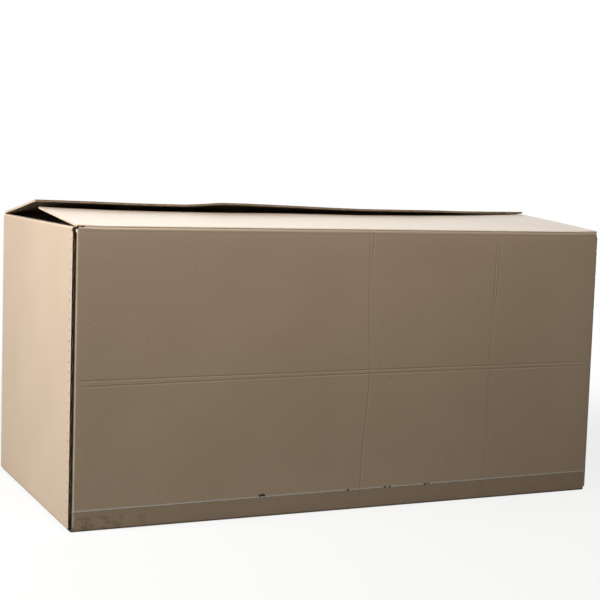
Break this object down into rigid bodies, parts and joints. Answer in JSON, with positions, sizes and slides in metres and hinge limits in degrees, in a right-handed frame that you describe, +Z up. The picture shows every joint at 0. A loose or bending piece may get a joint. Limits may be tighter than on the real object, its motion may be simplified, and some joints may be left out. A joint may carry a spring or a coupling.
{
  "type": "corrugated cardboard box",
  "caption": "Long slotted corrugated cardboard box standing erected, bottom flaps taped, end flaps folded in, hinged long top flaps nearly closed.",
  "frame": {"origin": "middle of the footprint, on the surface that the box stands on", "axes": "+X along the long walls towards the end without the glued corner, +Y from the front wall to the back wall, +Z up through the open top"},
  "size_m": [1.2, 0.58, 0.6262],
  "materials": {
    "kraft_board": "matt kraft paper with a faint sheen at grazing angles, flutes showing at the cut edges",
    "clear_tape": "clear packing tape, glossy with small bubbles"
  },
  "bodies": {
    "carton": {"carton_body": "kraft_board", "edge_tape": "clear_tape", "bottom_seam_tape": "clear_tape"},
    "front_flap": {"front_top_flap": "kraft_board"},
    "back_flap": {"back_top_flap": "kraft_board"}
  },
  "joints": [
    {"name": "front_flap_fold", "type": "hinge", "parent": "carton", "child": "front_flap", "pos_m": [0, -0.29, 0.587], "axis": [1, 0, 0], "range_deg": [-4, 260]},
    {"name": "back_flap_fold", "type": "hinge", "parent": "carton", "child": "back_flap", "pos_m": [0, 0.29, 0.587], "axis": [-1, 0, 0], "range_deg": [-6, 257]}
  ]
}
